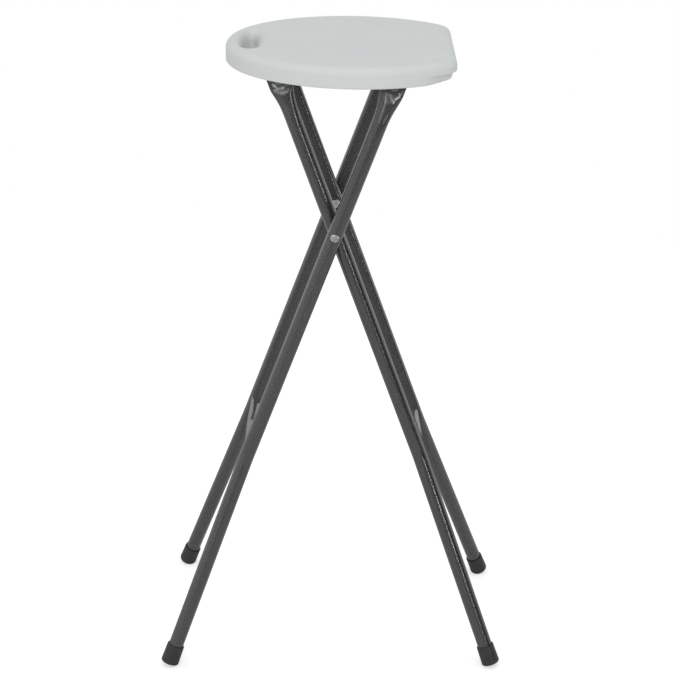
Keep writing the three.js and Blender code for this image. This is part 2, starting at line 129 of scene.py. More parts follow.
# %% [markdown]
# Every piece starts from one of the plain shapes of the Add menu. Without a window, Blender's
# rotate tool turns the opposite way to its number and needs to be told its centre. A small
# helper hides that, and another carries a modifier through, as its Apply button would.

# %% Adding, turning, applying and finishing
def add_shape(name, add, **settings):
    bpy.ops.object.select_all(action="DESELECT")
    add(**settings)
    piece = bpy.context.object
    piece.name = name
    piece.data.name = name
    bpy.ops.object.transform_apply(location=True, rotation=True)
    return piece


def turn_selection(angle, axis, centre):
    bpy.ops.transform.rotate(value=-angle, orient_axis=axis, center_override=centre)


def extrude_by(x=0.0, y=0.0, z=0.0):
    bpy.ops.mesh.extrude_region_move(TRANSFORM_OT_translate={"value": (x, y, z)})


def move_by(x=0.0, y=0.0, z=0.0):
    bpy.ops.transform.translate(value=(x, y, z))


def stretch_by(x, y, centre):
    bpy.ops.transform.resize(value=(x, y, 1), center_override=centre)


def round_edges(width, steps):
    bpy.ops.mesh.bevel(offset=width, segments=steps, profile=0.5, affect="EDGES")


def face_outwards():
    pick_all()
    bpy.ops.mesh.normals_make_consistent(inside=False)


def apply_modifier(piece, kind, **settings):
    only(piece)
    modifier = piece.modifiers.new(kind.title(), kind)
    for name, value in settings.items():
        setattr(modifier, name, value)
    bpy.ops.object.modifier_apply(modifier=modifier.name)


def cut_with(piece, cutter, operation="DIFFERENCE"):
    apply_modifier(piece, "BOOLEAN", object=cutter, operation=operation, solver="EXACT")
    bpy.data.objects.remove(cutter)


def soften(piece, width, degrees=50):
    apply_modifier(piece, "BEVEL", width=width, segments=2, limit_method="ANGLE",
                   angle_limit=math.radians(degrees))


def turn_piece(piece, angle, axis):
    open_mesh(piece)
    pick_all()
    turn_selection(angle, axis, (0, 0, 0))
    close_mesh()


def move_piece(piece, offset):
    open_mesh(piece)
    pick_all()
    move_by(*offset)
    close_mesh()


def copy_piece(piece, name, mirrored=False):
    twin = piece.copy()
    twin.data = piece.data.copy()
    twin.name = name
    twin.data.name = name
    bpy.context.scene.collection.objects.link(twin)
    if mirrored:
        open_mesh(twin)
        pick_all()
        stretch_by(1, -1, (0, 0, 0))
        bpy.ops.mesh.flip_normals()
        close_mesh()
    return twin


def finish_piece(piece, body, slot, finish, *nodes, smooth=35):
    only(piece)
    bpy.ops.object.transform_apply(location=True, rotation=True, scale=True)
    bpy.ops.object.shade_smooth_by_angle(angle=math.radians(smooth))
    piece.data.materials.clear()
    piece.data.materials.append(finish)
    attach(piece, body)
    if nodes:
        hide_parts(*nodes)
    corners = [Vector(corner) for corner in piece.bound_box]
    size = [round((max(c[i] for c in corners) - min(c[i] for c in corners)) / mm, 1) for i in range(3)]
    print(piece.name, "measures", size, "mm with", len(piece.data.polygons), "faces")


# %% [markdown]
# ## Finishes
# Every finish starts as Blender's general surface shader. A few helpers add what most of them
# share: a grain made of noise, a colour and a gloss that drift with it, a bump that lets the
# light feel it, and paint laid over the colour where a mask says so.

# %% Helpers for finishes
ramp_start, ramp_end = 0.3, 0.7
mix_under, mix_over, mix_result = 6, 7, 2


def surface(finish):
    return finish.node_tree.nodes["Principled BSDF"]


def new_finish(name, colour, roughness, metallic=0.0, specular=0.5):
    finish = bpy.data.materials.new(name)
    finish.use_nodes = True
    shader = surface(finish)
    shader.inputs["Base Color"].default_value = (*colour, 1)
    shader.inputs["Roughness"].default_value = roughness
    shader.inputs["Metallic"].default_value = metallic
    shader.inputs["Specular IOR Level"].default_value = specular
    return finish


def add_node(finish, kind, **values):
    node = finish.node_tree.nodes.new(kind)
    for name, value in values.items():
        if name in node.inputs.keys():
            node.inputs[name].default_value = value
        else:
            setattr(node, name, value)
    return node


def join(finish, source, target):
    finish.node_tree.links.new(source, target)


def feed(finish, source, socket):
    join(finish, source, surface(finish).inputs[socket])


def grain(finish, scale, detail=3.0):
    place = add_node(finish, "ShaderNodeTexCoord")
    noise = add_node(finish, "ShaderNodeTexNoise", Scale=scale, Detail=detail)
    join(finish, place.outputs["Object"], noise.inputs["Vector"])
    return noise.outputs["Fac"]


def between(finish, factor, low, high):
    ramp = add_node(finish, "ShaderNodeValToRGB")
    stops = ramp.color_ramp.elements
    for stop, place, colour in ((stops[0], ramp_start, low), (stops[1], ramp_end, high)):
        stop.position = place
        stop.color = (*colour, 1)
    join(finish, factor, ramp.inputs["Fac"])
    return ramp.outputs["Color"]


def grade(finish, factor, low, high, start=ramp_start, end=ramp_end):
    limits = {"From Min": start, "From Max": end, "To Min": low, "To Max": high}
    ramp = add_node(finish, "ShaderNodeMapRange", clamp=True, **limits)
    join(finish, factor, ramp.inputs["Value"])
    return ramp.outputs["Result"]


def times(finish, first, second):
    product = add_node(finish, "ShaderNodeMath", operation="MULTIPLY")
    join(finish, first, product.inputs[0])
    if isinstance(second, float):
        product.inputs[1].default_value = second
    else:
        join(finish, second, product.inputs[1])
    return product.outputs[0]


def paint_over(finish, mask, colour, strength, blend="MIX"):
    under = surface(finish).inputs["Base Color"].links[0].from_socket
    mix = add_node(finish, "ShaderNodeMix", data_type="RGBA", blend_type=blend)
    join(finish, times(finish, mask, strength), mix.inputs["Factor"])
    join(finish, under, mix.inputs[mix_under])
    mix.inputs[mix_over].default_value = (*colour, 1)
    feed(finish, mix.outputs[mix_result], "Base Color")


def dress(finish, patches, dark, light, gloss, pebble, strength, depth=0.4 * mm):
    feed(finish, between(finish, grain(finish, *patches), dark, light), "Base Color")
    gloss_scale, smoothest, roughest = gloss
    feed(finish, grade(finish, grain(finish, gloss_scale), smoothest, roughest), "Roughness")
    bump = add_node(finish, "ShaderNodeBump", Strength=strength, Distance=depth)
    join(finish, grain(finish, *pebble), bump.inputs["Height"])
    feed(finish, bump.outputs["Normal"], "Normal")
    return finish


# %% [markdown]
# The seat is blow-moulded polyethylene in a pale cool grey. It has a matt skin with a very
# fine pebble from the mould, and its colour drifts by a few hundredths where the wall was
# thicker. Two grains do it: a broad one for the colour and a fine one for the skin.

# %% Seat plastic
seat_plastic = new_finish("seat_plastic_skin", (0.642, 0.67, 0.667), 0.7, specular=0.2)
dress(seat_plastic, (14,), (0.642, 0.670, 0.669), (0.669, 0.692, 0.688), (60, 0.64, 0.76), (1100, 2.0), 0.10)
print("finish ready:", seat_plastic.name)

# %% [markdown]
# The tubes carry a dark grey powder coat of the hammered kind: shallow dimples a millimetre
# or two across, broad patches that lean a little to brown or blue, and tiny flakes that
# sparkle. Cells give each flake its own shade, and a soft noise gives the dimples.

# %% Powder coat
def make_powder_coat(name):
    finish = new_finish(name, (0.020, 0.020, 0.021), 0.3, specular=1.0)
    dress(finish, (26,), (0.022, 0.020, 0.018), (0.019, 0.020, 0.024), (240, 0.16, 0.28), (760, 2.0), 0.28)
    place = add_node(finish, "ShaderNodeTexCoord")
    cells = add_node(finish, "ShaderNodeTexVoronoi", feature="F1", Scale=2200)
    join(finish, place.outputs["Object"], cells.inputs["Vector"])
    spread = add_node(finish, "ShaderNodeSeparateColor")
    join(finish, cells.outputs["Color"], spread.inputs["Color"])
    flake = grade(finish, spread.outputs["Red"], 0.0, 1.0, 0.90, 1.0)
    paint_over(finish, flake, (0.14, 0.14, 0.145), 1.0)
    return finish


powder_coat = make_powder_coat("hammered_powder_coat")
print("finish ready:", powder_coat.name)

# %% [markdown]
# Bolts, screws, nuts and the hinge straps are zinc plated: a light, slightly blue metal that
# is never quite even, because the plating is tumbled with other parts. The pivot bolts are a
# shade darker. The screws under the seat's edge get a much darker copy of the zinc, painted
# shade for the shadow that the seat casts on them.

# %% Zinc plate
def make_zinc_plate(name, dark, light):
    finish = new_finish(name, light, 0.3, metallic=1.0)
    return dress(finish, (300,), dark, light, (700, 0.2, 0.42), (900, 2.0), 0.15)


zinc_plate = make_zinc_plate("zinc_plate", (0.52, 0.53, 0.55), (0.72, 0.73, 0.75))
bolt_zinc = make_zinc_plate("bolt_zinc_plate", (0.36, 0.37, 0.39), (0.56, 0.57, 0.59))
# A much darker copy of the zinc, as painted shade for the screws in the seat's shadow.
painted_shade_zinc = make_zinc_plate("painted_shade_zinc_plate", (0.13, 0.13, 0.14), (0.24, 0.25, 0.27))
print("finishes ready:", zinc_plate.name, bolt_zinc.name, painted_shade_zinc.name)

# %% [markdown]
# The foot caps are black rubber, a little dusty and rough. The clips under the seat are a
# black plastic with a satin skin, and the washers are plain nylon. They are the same kind of
# finish with other colours and grains, so one helper makes all three.

# %% Rubber, clip plastic and nylon
def make_soft_finish(name, dark, light, smoothest, roughest, pebble, strength):
    finish = new_finish(name, dark, roughest)
    return dress(finish, (90, 4.0), dark, light, (160, smoothest, roughest), (pebble,), strength, 0.5 * mm)


cap_rubber = make_soft_finish(
    "cap_rubber_skin", (0.017, 0.017, 0.017), (0.026, 0.026, 0.025), 0.4, 0.56, 700, 0.2)
clip_plastic = make_soft_finish(
    "clip_plastic_skin", (0.010, 0.010, 0.011), (0.018, 0.018, 0.019), 0.36, 0.5, 900, 0.1)
washer_nylon = make_soft_finish(
    "washer_nylon_skin", (0.60, 0.60, 0.56), (0.68, 0.68, 0.64), 0.35, 0.5, 800, 0.1)
print("finishes ready:", cap_rubber.name, clip_plastic.name, washer_nylon.name)

# %% [markdown]
# ## The seat
# The seat looks round from above, but it is a little longer than it is wide, and one side is
# cut straight with two round corners. The outline is drawn as a maker would draw it with a
# compass: one point is spun into the big arc, spun again into a corner, run straight along
# the flat side and spun into the other corner. It is drawn truly round and then stretched.

# %% Seat outline
seat_middle = Vector((15.5 * mm, 0, 0))
seat_round = 143.5 * mm
seat_reach = 155 * mm
flat_side = 119.5 * mm
corner_round = 34 * mm


def start_point(name, place):
    piece = add_shape(name, bpy.ops.mesh.primitive_plane_add, size=mm, location=place)
    open_mesh(piece)
    pick_all()
    bpy.ops.mesh.merge(type="CENTER")
    return piece


def spin_about(x, y, z, angle, steps):
    bpy.ops.mesh.spin(steps=steps, angle=-angle, center=(x, y, z), axis=(0, 0, 1))


def seat_outline(name, inset, height):
    radius = seat_round - inset
    stretch = (seat_reach - inset) / radius
    corner = corner_round - inset
    corner_x = (flat_side - inset) / stretch - corner
    corner_y = math.sqrt((radius - corner) ** 2 - corner_x ** 2)
    start = math.atan2(corner_y, corner_x)
    piece = start_point(name, (radius * math.cos(start), radius * math.sin(start), height))
    spin_about(0, 0, height, math.tau - 2 * start, 110)
    spin_about(corner_x, -corner_y, height, start, 12)
    extrude_by(y=2 * corner_y)
    spin_about(corner_x, corner_y, height, start, 12)
    pick_all()
    bpy.ops.mesh.remove_doubles(threshold=0.05 * mm)
    bpy.ops.mesh.edge_face_add()
    stretch_by(stretch, 1, (0, 0, height))
    move_by(x=seat_middle.x)
    return piece


seat = seat_outline("seat", 0.0, seat_bottom)
print("points in the seat's outline:", len(bmesh.from_edit_mesh(seat.data).verts))

# %% [markdown]
# The outline is drawn up to the seat's thickness. The top edge then gets its generous round
# and the bottom edge a small one, both with the bevel tool.

# %% Seat body
top_round = 9 * mm
bottom_round = 2 * mm

extrude_by(z=seat_thickness)
face_outwards()
pick(seat, "EDGE", edge_at(z_axis, seat_top))
round_edges(top_round, 10)
pick(seat, "EDGE", edge_at(z_axis, seat_bottom))
round_edges(bottom_round, 4)
close_mesh()
print("seat body has", len(seat.data.polygons), "faces")

# %% [markdown]
# Under the lip of the flat side the wall steps in by a few millimetres, so that fingers and
# the floor clear it when the seat stands upright. The step follows the two round corners and
# dies out along the long sides. The wall is cut level at the lip, and what is below the cut is
# drawn in towards the seat's middle, in small pulls that start one after the other.

# %% Step under the lip
lip_level = seat_top - 14 * mm
lip_edge = 0.5 * mm
lip_step = 3.6 * mm
foot_step = 2.0 * mm
foot_level = seat_bottom + 3 * mm
lip_pulls = 8
first_pull = seat_middle.x + 84 * mm
pull_pitch = 2.6 * mm


def draw_in(start, level, step):
    share = 1 - step / flat_side / lip_pulls
    pick(seat, "VERT", lambda v: v.co.x > start and v.co.z < level)
    stretch_by(share, share, tuple(seat_middle))


open_mesh(seat)
for level in (lip_level, lip_level - lip_edge):
    pick_all()
    bpy.ops.mesh.bisect(plane_co=(0, 0, level), plane_no=(0, 0, 1))
for pull in range(lip_pulls):
    start = first_pull + pull * pull_pitch
    draw_in(start, lip_level - lip_edge / 2, lip_step)
    draw_in(start, foot_level, foot_step)
close_mesh()
print("faces with the step under the lip:", len(seat.data.polygons))

# %% [markdown]
# The finger hole is a long slot with oval ends across the seat. Its rim rolls in softly, so
# that fingers slide in and nothing presses on them. The waste for it starts as a circle that
# is stretched into an oval, whose halves are pulled apart into a slot. It is then drawn
# upwards in small steps, and each step grows both ends a little more than the last. The ring
# also slides towards the seat's middle, where the rim rolls in more gently.

# %% Finger hole
hole_from_edge = 29 * mm
hole_middle = seat_middle.x - seat_reach + hole_from_edge
hole_round = 10 * mm
hole_length = 90 * mm
hole_sides = 48
rim_depth = 12 * mm
rim_reach = 9.5 * mm
rim_shift = 2.2 * mm
rim_steps = 10
end_stretch = 3.0
end_middle = hole_length / 2 - end_stretch * hole_round
below_seat = 10 * mm
above_seat = 5 * mm


def grow_ends(piece, ring, before, after, slide):
    longer = (end_stretch - 1) * hole_round
    for side in (-1, 1):
        pick(piece, "VERT", lambda v: v.co.y * side > 0 and ring(v))
        stretch_by(after / before, (after + longer) / (before + longer),
                   (hole_middle + slide, side * end_middle, 0))


waste = add_shape(
    "hole_waste", bpy.ops.mesh.primitive_circle_add, vertices=hole_sides, radius=hole_round,
    fill_type="NGON", location=(hole_middle, 0, seat_bottom - below_seat),
    rotation=(0, 0, math.pi / hole_sides))
open_mesh(waste)
pick_all()
stretch_by(1, end_stretch, (hole_middle, 0, 0))
for side in (-1, 1):
    pick(waste, "VERT", lambda v: v.co.y * side > 0)
    move_by(y=side * end_middle)
pick_all()
extrude_by(z=seat_thickness + below_seat - rim_depth)
reach, level = hole_round, seat_top - rim_depth
for step in range(1, rim_steps + 1):
    angle = math.pi / 2 * step / rim_steps
    next_level = seat_top - rim_depth + rim_depth * math.sin(angle)
    wider = hole_round + rim_reach * (1 - math.cos(angle))
    ring = corner_at(z_axis, next_level)
    pick(waste, "FACE", end_face(z_axis, 1))
    extrude_by(z=next_level - level)
    grow_ends(waste, ring, reach, wider, rim_shift * (reach - hole_round) / rim_reach)
    pick(waste, "VERT", ring)
    move_by(x=rim_shift * (wider - reach) / rim_reach)
    reach, level = wider, next_level
pick(waste, "FACE", end_face(z_axis, 1))
extrude_by(z=above_seat)
face_outwards()
close_mesh()
cut_with(seat, waste)
print("faces after the finger hole is cut:", len(seat.data.polygons))

# %% [markdown]
# The ends of the finger hole are darkened as painted shade, for the little light that gets
# deep into the hole. The seat's colour is toned down in a soft ball at each end of the hole, below its rim.

# %% Painted shade in the finger hole
painted_shade_centre = (-hole_middle - 3 * mm, 42 * mm, seat_top - 17 * mm)
painted_shade_core, painted_shade_reach, painted_shade_strength = 2 * mm, 9 * mm, 0.3

here = add_node(seat_plastic, "ShaderNodeTexCoord")
mirrored = add_node(seat_plastic, "ShaderNodeVectorMath", operation="ABSOLUTE")
gap = add_node(seat_plastic, "ShaderNodeVectorMath", operation="DISTANCE")
gap.inputs[1].default_value = painted_shade_centre
join(seat_plastic, here.outputs["Object"], mirrored.inputs[0])
join(seat_plastic, mirrored.outputs["Vector"], gap.inputs[0])
# The ball of painted shade is darkest at its centre and fades out over a few millimetres.
painted_shade_ball = grade(seat_plastic, gap.outputs["Value"], 1, 0, painted_shade_core, painted_shade_reach)
paint_over(seat_plastic, painted_shade_ball, (0.4, 0.4, 0.4), painted_shade_strength, "MULTIPLY")
print("the painted shade centre lies", round((seat_top - painted_shade_centre[2]) / mm), "mm below the seat's top")

# %% [markdown]
# Underneath, the seat is hollowed by a shallow recess with the same outline drawn in by the
# rim's width. It stops short of the finger hole, so its outline is sliced off there.

# %% Recess under the seat
rim_width = 13 * mm
recess_depth = 10 * mm
recess_edge = 2 * mm
hole_wall = 9 * mm
recess_left = hole_middle + hole_round + hole_wall
overrun = 5 * mm

waste = seat_outline("recess_waste", rim_width, seat_bottom - overrun)
extrude_by(z=recess_depth + overrun)
pick_all()
bpy.ops.mesh.bisect(plane_co=(recess_left, 0, 0), plane_no=(1, 0, 0), use_fill=True, clear_inner=True)
face_outwards()
pick(waste, "EDGE", edge_at(z_axis, seat_bottom + recess_depth))
round_edges(recess_edge, 3)
close_mesh()
cut_with(seat, waste)
print("faces after the recess is cut:", len(seat.data.polygons))

# %% [markdown]
# Four moulded pads stand in the recess. The two on the side of the flat edge are tall and
# grooved, because the outer frame's bar turns in them. The two others are low and carry the
# clips. Each is a box with softened edges, joined to the seat, and then the groove is cut. A
# small round vent in the middle of the recess opens the hollow between the seat's walls. Only
# its mouth shows, so here it is a shallow pit.

# %% Pads and the bar's groove
outer_foot_reach = 208 * mm
inner_foot_reach = 216 * mm
lean_outer = math.atan(outer_foot_reach / pivot_height)
lean_inner = math.atan(inner_foot_reach / pivot_height)
outer_bar_x = pivot.x + bar_above_pivot * math.tan(lean_outer)
inner_bar_x = pivot.x - bar_above_pivot * math.tan(lean_inner)
saddle_spread = 37 * mm
clip_spread = 34 * mm
pad_half = 8 * mm
pad_root = seat_bottom + recess_depth + 1 * mm
groove_radius = 8.3 * mm
groove_half_length = 140 * mm
saddle_pad_reach = 20 * mm
clip_pad_reach = 18 * mm
pad_edge = 0.8 * mm
pit_half = 2.5 * mm
pit_corner = 2.4 * mm
pit_low, pit_high = seat_bottom + 8 * mm, seat_bottom + 13 * mm


def add_box(name, low, high, edge=0):
    piece = add_shape(name, bpy.ops.mesh.primitive_cube_add, size=1)
    open_mesh(piece)
    pick_all()
    size = [high[i] - low[i] for i in range(3)]
    bpy.ops.transform.resize(value=size, center_override=(0, 0, 0))
    move_by(*[(high[i] + low[i]) / 2 for i in range(3)])
    if edge:
        round_edges(edge, 3)
    close_mesh()
    return piece


def add_rod(name, radius, low, high, x, z, corners=48):
    return add_shape(
        name, bpy.ops.mesh.primitive_cylinder_add, vertices=corners, radius=radius, depth=high - low,
        location=(x, (low + high) / 2, z), rotation=(math.pi / 2, 0, 0))


for side in (-1, 1):
    for x, spread, reach, foot in (
        (outer_bar_x, saddle_spread, saddle_pad_reach, bar_height),
        (inner_bar_x, clip_spread, clip_pad_reach, seat_bottom),
    ):
        pad = add_box("pad", (x - reach, side * spread - pad_half, foot),
                      (x + reach, side * spread + pad_half, pad_root), pad_edge)
        cut_with(seat, pad, "UNION")
groove = add_rod(
    "groove_waste", groove_radius, -groove_half_length, groove_half_length, outer_bar_x, bar_height)
cut_with(seat, groove)
pit = add_box("pit_waste", (seat_middle.x - pit_half, -pit_half, pit_low),
              (seat_middle.x + pit_half, pit_half, pit_high))
open_mesh(pit)
pick(pit, "EDGE", lambda edge: reach_of(edge, z_axis) > near_enough)
round_edges(pit_corner, 6)
close_mesh()
cut_with(seat, pit)
print("faces after the pads are joined:", len(seat.data.polygons))

# %% [markdown]
# No moulded edge is ever sharp. A fine bevel on the edges that the cuts left catches the
# light as the real one does, and weighted normals keep the large flat faces flat.

# %% Soften the seat's edges
cut_edge = 0.7 * mm

soften(seat, cut_edge)
finish_piece(seat, "seat", "seat_plastic", seat_plastic, "seat_shell", smooth=40)
apply_modifier(seat, "WEIGHTED_NORMAL", keep_sharp=True)

# %% [markdown]
# ## The legs
# All four legs are one idea: a straight tube is pressed flat on its inner side, so that the
# crossing legs pass close, squeezed into a tab at its top and bent outwards near the foot.
# They are modelled the same way. A circle is drawn up ring by ring into a straight tube, the
# rings are pressed while the tube is straight, and the bend comes last.
#
# The places on a leg are measured along it from the pivot, as on a cutting list. The inner
# legs widen into their tabs a little later than the outer ones, and their facets start higher.

# %% Places along a leg
outer_plane = 76 * mm
bend_height = 272 * mm
crease_height = 289 * mm
bend_radius = 70 * mm
pressed_reach = tube_radius - 2.3 * mm
tab_half = 1.5 * mm
tab_below_bar = 6.5 * mm
tab_above_bar = 9 * mm
crimp_length = 46 * mm
washer_thickness = 2.7 * mm
cap_radius = tube_radius + 2.2 * mm
cap_round = 2.5 * mm
cap_base = 4 * mm
cap_sunk = 1 * mm


def leg_plan(label, lean, plane, foot_spread, facet_start, late):
    along_at = lambda height: (height - pivot.z) / math.cos(lean)
    bend = along_at(bend_height)
    foot = along_at(0)
    splay = math.atan((foot_spread - plane) / (bend - foot))
    arc_start = bend + bend_radius * math.tan(splay / 2)
    arc_end_y = plane + bend_radius * (1 - math.cos(splay))
    arc_end_z = arc_start - bend_radius * math.sin(splay)
    lower = math.hypot(foot_spread - arc_end_y, foot - arc_end_z)
    tip = math.acos(math.cos(lean) * math.cos(splay))
    low_edge = (cap_radius - cap_round) * math.sin(tip) + cap_round * (1 - math.cos(tip))
    cap_under = arc_start - lower + (low_edge - cap_sunk) / math.cos(tip)
    bar = bar_above_pivot / math.cos(lean)
    print(label, "leg bends outwards by", round(math.degrees(splay), 1), "degrees")
    return {
        "label": label, "body": label + "_frame", "lean": lean, "plane": plane, "splay": splay,
        "arc_start": arc_start, "cap_under": cap_under, "tube_end": cap_under + cap_base + fit_gap,
        "bar": bar, "crimp_end": bar - tab_below_bar, "tab_top": bar + tab_above_bar,
        "crease": along_at(crease_height), "facet_start": facet_start, "late": late,
    }


inner_plane = outer_plane - pressed_reach - washer_thickness - 2 * fit_gap - tube_radius
outer_plan = leg_plan(
    "outer", lean_outer, outer_plane, foot_spread=134 * mm, facet_start=173.2 * mm, late=1.5)
inner_plan = leg_plan(
    "inner", -lean_inner, inner_plane, foot_spread=122 * mm, facet_start=180.0 * mm, late=2.2)
plans = (outer_plan, inner_plan)

# %% [markdown]
# The straight tube is forty points round. Rings are close together where the shape will
# change: below the bend, where the pressed face runs out, and near the top, where the tube
# is squeezed. Nine rings lie on the same place at the bend. They open like a fan when the
# bend is made.

# %% Draw a straight tube
leg_sides = 40
bend_rings = 9
crimp_rings = 14
run_out_rings = [below * mm for below in range(46, 5, -5)]
straight_rings = [-150 * mm, -9 * mm, 9 * mm, 60 * mm]
sleeve_ring = 60 * mm


def ring_levels(plan):
    start = plan["arc_start"]
    crimp_start = plan["crimp_end"] - crimp_length
    levels = [plan["tube_end"], plan["tube_end"] + sleeve_ring]
    levels += [start - below for below in run_out_rings]
    levels += [start] * bend_rings
    levels += [start + 3 * mm, start + 6 * mm, plan["crease"], plan["crease"] + 1.2 * mm]
    levels += straight_rings
    levels += [crimp_start + crimp_length * step / crimp_rings for step in range(crimp_rings + 1)]
    levels += [plan["tab_top"]]
    return levels


def ring_test(first, last=None):
    last = first if last is None else last
    return lambda corner: first <= corner.index // leg_sides <= last


def draw_tube(plan):
    levels = ring_levels(plan)
    leg = add_shape(
        plan["label"] + "_leg_far", bpy.ops.mesh.primitive_circle_add, vertices=leg_sides,
        radius=tube_radius, fill_type="NOTHING", location=(0, plan["plane"], levels[0]))
    open_mesh(leg)
    pick_all()
    for low, high in zip(levels, levels[1:]):
        extrude_by(z=high - low)
    print(leg.name, "drawn with", len(levels), "rings")
    return leg, levels


# %% [markdown]
# Pressing is a resize to nothing in one direction: the points that stand past the press's
# face are brought back onto it. On the inner side the press stops at a crease above the
# bend, and its face runs out down the tube until it meets the round again. At the top the
# tube first goes oval, then two dies press it into a tab that tapers over a short facet.

# %% Press the tube
oval_press = 3.4 * mm
press_fade = 41 * mm
inwards, outwards = -1, 1


def clamp(share):
    return min(max(share, 0.0), 1.0)


def ease(share):
    return clamp(share) ** 2 * (3 - 2 * clamp(share))


def press_ring(leg, ring, plane, face, side):
    reach = plane + side * face
    on_ring = ring_test(ring)
    pick(leg, "VERT", lambda v: on_ring(v) and (v.co.y - reach) * side > 0)
    stretch_by(1, 0, (0, reach, 0))


def bend_above(ring, levels, plan):
    turns_left = levels.index(plan["arc_start"]) + bend_rings - 1 - ring
    return bend_radius * plan["splay"] * clamp(turns_left / (bend_rings - 1))


def press_leg(leg, levels, plan):
    plane = plan["plane"]
    crimp_start = plan["crimp_end"] - crimp_length
    run_length = plan["crease"] - plan["arc_start"] + bend_radius * plan["splay"] + press_fade
    for ring, level in enumerate(levels):
        below = plan["crease"] - level + bend_above(ring, levels, plan)
        if level <= crimp_start:
            face = pressed_reach + (tube_radius - pressed_reach) * clamp(below / run_length)
            if face < tube_radius:
                press_ring(leg, ring, plane, face, inwards)
            continue
        share = ease(((level - crimp_start) / crimp_length) ** plan["late"])
        half = tube_radius + (tab_half - tube_radius) * share
        across = (half + math.pi / 2 * (tube_radius - half)) / tube_radius
        facet = (level - plan["facet_start"]) / (plan["crimp_end"] - plan["facet_start"])
        oval = ease((level - crimp_start) / (plan["facet_start"] - crimp_start))
        outer_half = tube_radius - oval_press * oval
        pick(leg, "VERT", ring_test(ring))
        stretch_by(across, outer_half / tube_radius, (0, plane, 0))
        press_ring(leg, ring, plane, outer_half + (tab_half - outer_half) * clamp(facet), outwards)
        press_ring(leg, ring, plane, min(half, pressed_reach), inwards)


# %% [markdown]
# A map of the tube's surface, unrolled as a sheet of paper would be, lets the finish know
# where to paint light and shade by the pressed faces. It runs round the tube from the side
# that faces down, and along it from the crease below the pivot and from the tip of the facet
# above it. One whole metre is added above the pivot, so that the two stretches can't be mistaken.

# %% Map the surface
top_shift = 1


def map_leg(leg, levels, plan):
    close_mesh()
    unrolled = [level - bend_above(ring, levels, plan) for ring, level in enumerate(levels)]
    sheet = leg.data.uv_layers.new(name="press_map")
    down_side = 1 if plan["lean"] > 0 else -1
    for face in leg.data.polygons:
        turns = []
        for loop in face.loop_indices:
            ring, place = divmod(leg.data.loops[loop].vertex_index, leg_sides)
            angle = math.tau * place / leg_sides
            turn = math.atan2(math.cos(angle), math.sin(-angle) * down_side)
            turns.append(turn)
            level = unrolled[ring]
            along = level - plan["crease"] if level < 0 else top_shift + level - plan["facet_start"]
            sheet.data[loop].uv = (turn * tube_radius, along)
        if max(turns) - min(turns) > math.pi:
            for loop, turn in zip(face.loop_indices, turns):
                if turn < 0:
                    sheet.data[loop].uv.x = (turn + math.tau) * tube_radius


# %% [markdown]
# The bend turns everything below it outwards about one centre, a step at a time, and each
# step leaves one of the nine rings behind. Then the leg leans over about its pivot.

# %% Bend and lean
def bend_centre(plan):
    return (0, plan["plane"] + bend_radius, plan["arc_start"])


def bend_leg(leg, levels, plan):
    open_mesh(leg)
    last = levels.index(plan["arc_start"]) + bend_rings - 1
    for step in range(1, bend_rings):
        pick(leg, "VERT", ring_test(0, last - step))
        turn_selection(plan["splay"] / (bend_rings - 1), "X", bend_centre(plan))


def lean_piece(piece, plan):
    turn_piece(piece, plan["lean"], "Y")
    move_piece(piece, pivot)


def make_leg(plan):
    leg, levels = draw_tube(plan)
    press_leg(leg, levels, plan)
    pick(leg, "VERT", ring_test(len(levels) - 1))
    bpy.ops.mesh.edge_face_add()
    map_leg(leg, levels, plan)
    bend_leg(leg, levels, plan)
    face_outwards()
    close_mesh()
    lean_piece(leg, plan)
    return leg


outer_leg = make_leg(outer_plan)
inner_leg = make_leg(inner_plan)

# %% [markdown]
# Near the bend, where the pressed face runs out, the tube reflects the lamps, and the tab's
# facets throw small glints. Both are painted on as painted highlights: lighter patches and
# light streaks. A dark line of painted shade lies along the crease. The finish of the legs is
# the powder coat with this painted light and shade drawn on the surface map: each patch is the
# ground between a few straight lines, as cut from paper. Places on the map are degrees round
# the tube and millimetres along it.

# %% Powder coat with painted highlights and shade
painted_light_blur = 0.5 * mm
glint_blur = 0.6 * mm
# Colours of the painted light: lighter patches of painted highlight, dark painted shade at the crease, and
# light painted glints.
painted_highlight_outer, painted_highlight_inner, painted_crease_shade = [(value, value, value) for value in (0.27, 0.34, 0.008)]
painted_glint_colour = (0.62, 0.62, 0.63)


def side_of_line(finish, here, start, end, soft):
    run = Vector((end[0] - start[0], end[1] - start[1]))
    across = Vector((-run.y, run.x)).normalized()
    dot = add_node(finish, "ShaderNodeVectorMath", operation="DOT_PRODUCT")
    join(finish, here, dot.inputs[0])
    dot.inputs[1].default_value = (across.x, across.y, 0)
    shift = across.x * start[0] + across.y * start[1]
    return grade(finish, dot.outputs["Value"], 0, 1, shift - soft, shift + soft)


def within(finish, here, corners, soft):
    turning = sum(a[0] * b[1] - b[0] * a[1] for a, b in zip(corners, corners[1:] + corners[:1]))
    if turning < 0:
        corners = corners[::-1]
    lines = list(zip(corners, corners[1:] + corners[:1]))
    result = side_of_line(finish, here, *lines[0], soft)
    for start, end in lines[1:]:
        result = times(finish, result, side_of_line(finish, here, start, end, soft))
    return result


def on_map(*corners, above=0):
    return [(math.radians(degrees) * tube_radius, above + along * mm) for degrees, along in corners]


def streak(start, end, width):
    low, high = [Vector(place) for place in on_map(start, end, above=top_shift)]
    half = (high - low).orthogonal().normalized() * width * mm / 2
    return [tuple(point) for point in (low - half, high - half, high + half, low + half)]


